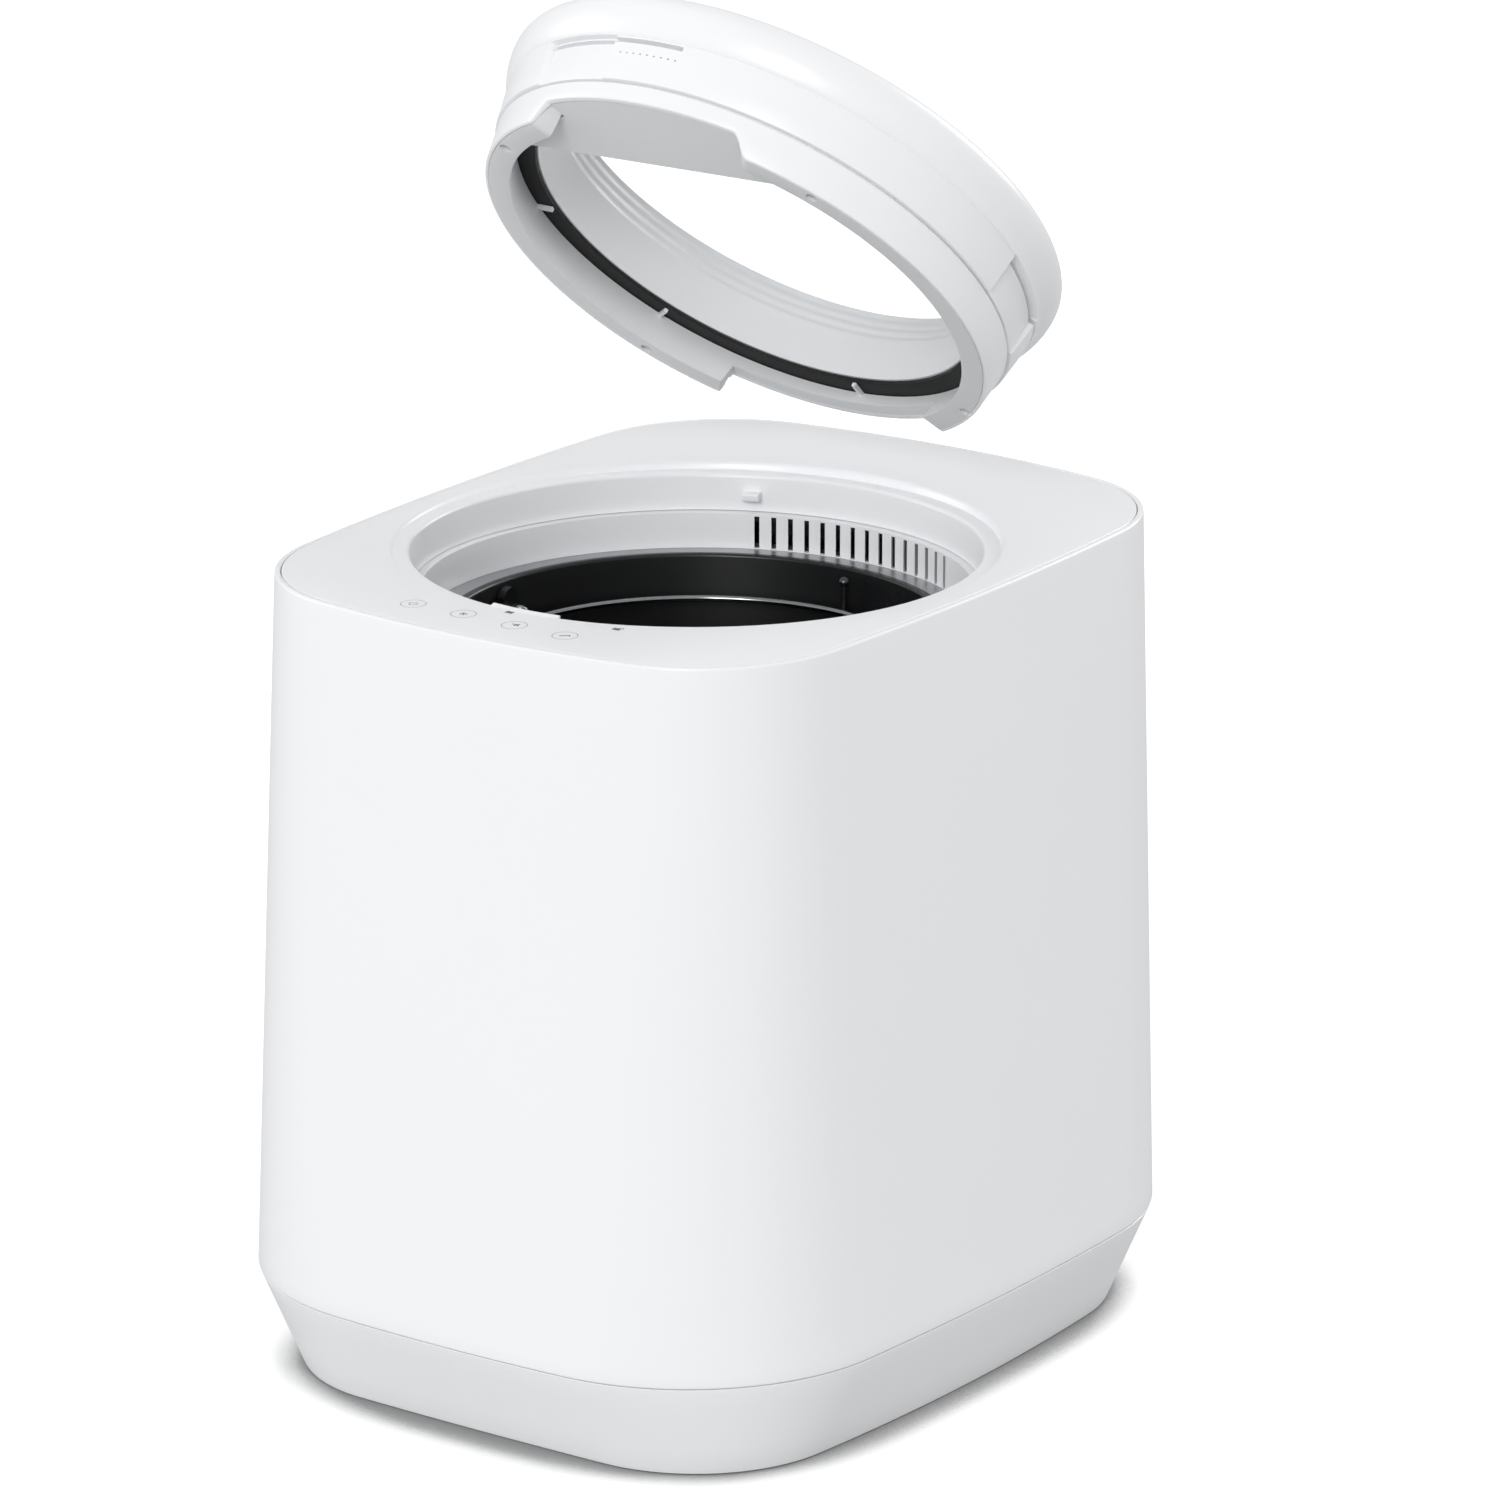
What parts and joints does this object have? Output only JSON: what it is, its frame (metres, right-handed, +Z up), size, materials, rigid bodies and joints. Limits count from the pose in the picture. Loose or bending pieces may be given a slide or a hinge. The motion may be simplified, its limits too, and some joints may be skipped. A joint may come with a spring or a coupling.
{
  "type": "food waste composter",
  "caption": "Countertop electric food waste composter with a lift-off twist-lock lid, removable bucket with bail handle, geared stirrer and rear filter drawer.",
  "frame": {"origin": "centre of the body's footprint on the table, under the feet", "axes": "+Z up, -Y out of the front with the touch marks, +X to the right seen from the front"},
  "size_m": [0.2884, 0.3526, 0.5524],
  "materials": {
    "shell_white": "satin",
    "grey_abs": "satin",
    "liner_white": "satin",
    "black_rubber": "matte",
    "coated_steel": "satin",
    "steel": "satin",
    "pot_aluminium": "satin",
    "brass": "satin",
    "wool": "matte",
    "clear_sheet": "clear",
    "nylon": "satin",
    "dark_abs": "matte",
    "carbon": "matte",
    "board_green": "satin"
  },
  "bodies": {
    "body": {"base_tray": "shell_white", "feet": "black_rubber", "base_screws": "steel", "outer_shell": "shell_white", "deck": "shell_white", "lid_catch": "shell_white", "chamber_liner": "liner_white", "heating_pot": "pot_aluminium", "heater_plate": "pot_aluminium", "insulation": "wool", "carrier_plate": "dark_abs", "idler_axle": "steel", "motor_can": "steel", "gearbox_housing": "dark_abs", "gearbox_cover": "dark_abs", "shaft_bearing": "steel", "filter_bay": "dark_abs", "fan_housing": "dark_abs", "exhaust_duct": "dark_abs", "power_inlet": "dark_abs", "inlet_pins": "brass", "main_board": "board_green", "board_parts": "dark_abs", "touch_board": "board_green", "lid_sensor": "dark_abs"},
    "bucket_body": {"bucket": "coated_steel", "bucket_bushing": "brass", "bucket_ears": "steel", "crushing_post": "steel"},
    "handle": {"bucket_handle": "steel"},
    "stirrer_body": {"stirrer": "steel"},
    "drive": {"drive_shaft": "steel", "drive_dog": "steel", "output_gear": "nylon"},
    "idler": {"idler_gear": "nylon"},
    "motor": {"motor_pinion": "brass", "motor_shaft": "steel"},
    "fan": {"fan_rotor": "dark_abs"},
    "filter_drawer": {"filter_cover": "shell_white", "filter_cassette": "dark_abs", "carbon_core": "carbon"},
    "lid_carrier": {"lid_seal": "black_rubber"},
    "lid": {"lid_shell": "shell_white", "lid_rim": "grey_abs", "lid_screws": "steel", "lid_collar": "grey_abs", "lid_window": "clear_sheet", "window_ring": "grey_abs", "lid_baffle": "grey_abs"}
  },
  "joints": [
    {"name": "bucket_lift", "type": "slide", "parent": "body", "child": "bucket_body", "axis": [0, 0, 1], "range_m": [0, 0.045]},
    {"name": "handle_swing", "type": "hinge", "parent": "bucket_body", "child": "handle", "pos_m": [0, -0.0084, 0.2885], "axis": [1, 0, 0], "range_deg": [0, 92.5]},
    {"name": "drive_spin", "type": "hinge", "parent": "body", "child": "drive", "pos_m": [0, -0.0084, 0.1], "axis": [0, 0, 1], "continuous": true},
    {"name": "stirrer_spin", "type": "hinge", "parent": "bucket_body", "child": "stirrer_body", "pos_m": [0, -0.0084, 0.15], "axis": [0, 0, 1], "continuous": true},
    {"name": "idler_spin", "type": "hinge", "parent": "body", "child": "idler", "pos_m": [0, 0.0556, 0.08], "axis": [0, 0, 1], "continuous": true},
    {"name": "motor_spin", "type": "hinge", "parent": "body", "child": "motor", "pos_m": [0, 0.1096, 0.07], "axis": [0, 0, 1], "continuous": true},
    {"name": "fan_spin", "type": "hinge", "parent": "body", "child": "fan", "pos_m": [0, 0.13647, 0.2], "axis": [0, 0, 1], "continuous": true},
    {"name": "filter_slide", "type": "slide", "parent": "body", "child": "filter_drawer", "axis": [0, 1, 0], "range_m": [0, 0.065]},
    {"name": "lid_lift", "type": "hinge", "parent": "body", "child": "lid_carrier", "pos_m": [0, 0.14444, 0.34243], "axis": [-1, 0, 0], "range_deg": [-45.8, 0]},
    {"name": "lid_turn", "type": "hinge", "parent": "lid_carrier", "child": "lid", "pos_m": [0, 0.017, 0.4317], "axis": [0, 0.7169, 0.6972], "range_deg": [-15, 8]}
  ],
  "couplings": [
    {"joint": "stirrer_spin", "follows": "drive_spin", "ratio": 1},
    {"joint": "idler_spin", "follows": "drive_spin", "ratio": -3.5714},
    {"joint": "motor_spin", "follows": "drive_spin", "ratio": 10.204}
  ]
}
